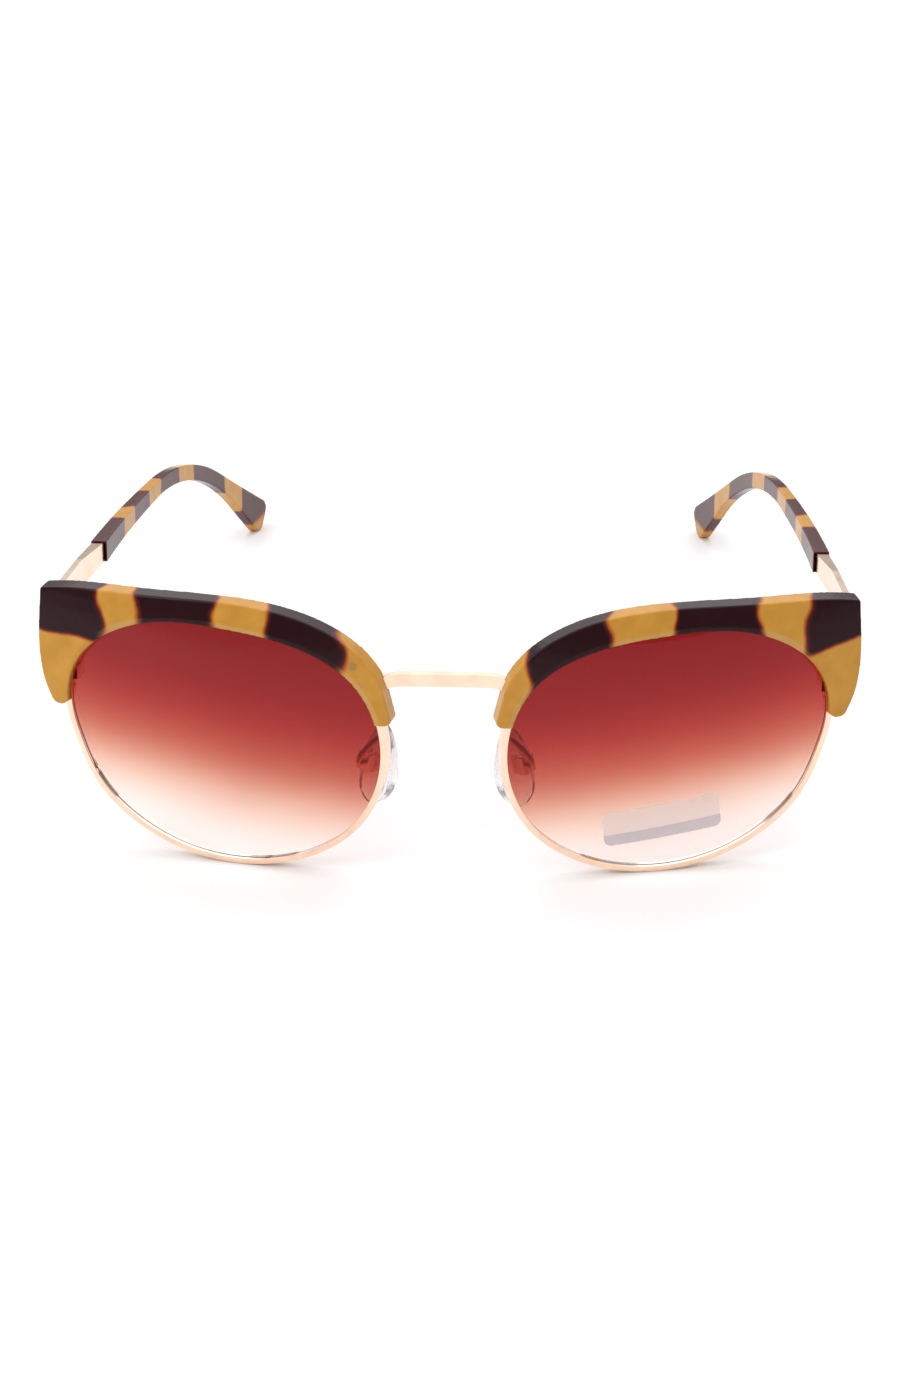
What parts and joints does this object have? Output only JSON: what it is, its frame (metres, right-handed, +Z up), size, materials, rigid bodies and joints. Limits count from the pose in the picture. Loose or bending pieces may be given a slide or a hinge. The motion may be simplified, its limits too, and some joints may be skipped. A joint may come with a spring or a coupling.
{
  "type": "cat eye sunglasses",
  "caption": "Browline cat-eye sunglasses: tortoise acetate brows over round wire rims, gradient lenses, bar bridge, rocking nose pads and folding temples with acetate tips.",
  "frame": {"origin": "on the surface the sunglasses stand on, at the middle of their footprint", "axes": "+Z up, -Y out of the front of the lenses, +Y back towards the ears, +X to the wearer's left"},
  "size_m": [0.1336, 0.152, 0.046],
  "materials": {
    "acetate": "polished tortoise acetate, honey with near-black brown patches",
    "metal": "polished pale rose-gold plate",
    "lens": "gradient tint, deep red at the top to clear cream at the bottom",
    "silicone": "clear soft silicone",
    "screw": "small polished slotted screws",
    "label": "blank peel-off film label"
  },
  "bodies": {
    "front": {"bridge": "metal", "brow_left": "acetate", "brow_lugs_left": "metal", "brow_lugs_right": "metal", "brow_right": "acetate", "brow_screws_left": "screw", "brow_screws_right": "screw", "end_piece_left": "metal", "end_piece_right": "metal", "hinge_front_left": "metal", "hinge_front_right": "metal", "hinge_screw_left": "screw", "hinge_screw_right": "screw", "lens_label": "label", "lens_left": "lens", "lens_right": "lens", "pad_arm_left": "metal", "pad_arm_right": "metal", "pad_box_left": "metal", "pad_box_right": "metal", "pad_screw_left": "screw", "pad_screw_right": "screw", "rim_left": "metal", "rim_lock_left": "metal", "rim_lock_right": "metal", "rim_lock_screw_left": "screw", "rim_lock_screw_right": "screw", "rim_right": "metal"},
    "temple_left": {"hinge_rear_left": "metal", "temple_bar_left": "metal", "temple_tip_left": "acetate"},
    "temple_right": {"hinge_rear_right": "metal", "temple_bar_right": "metal", "temple_tip_right": "acetate"},
    "pad_left": {"nose_pad_left": "silicone"},
    "pad_right": {"nose_pad_right": "silicone"}
  },
  "joints": [
    {"name": "temple_left_fold", "type": "hinge", "parent": "front", "child": "temple_left", "pos_m": [0.064, -0.0536, 0.03698], "axis": [0, 0.1009, 0.9949], "range_deg": [0, 84]},
    {"name": "temple_right_fold", "type": "hinge", "parent": "front", "child": "temple_right", "pos_m": [-0.064, -0.0536, 0.03698], "axis": [0, -0.1009, -0.9949], "range_deg": [0, 78]},
    {"name": "pad_left_rock", "type": "hinge", "parent": "front", "child": "pad_left", "pos_m": [0.0122, -0.06778, 0.01758], "axis": [0.6695, 0.7363, 0.0983], "range_deg": [-8, 8]},
    {"name": "pad_right_rock", "type": "hinge", "parent": "front", "child": "pad_right", "pos_m": [-0.0122, -0.06778, 0.01758], "axis": [-0.6695, 0.7363, 0.0983], "range_deg": [-8, 8]}
  ]
}
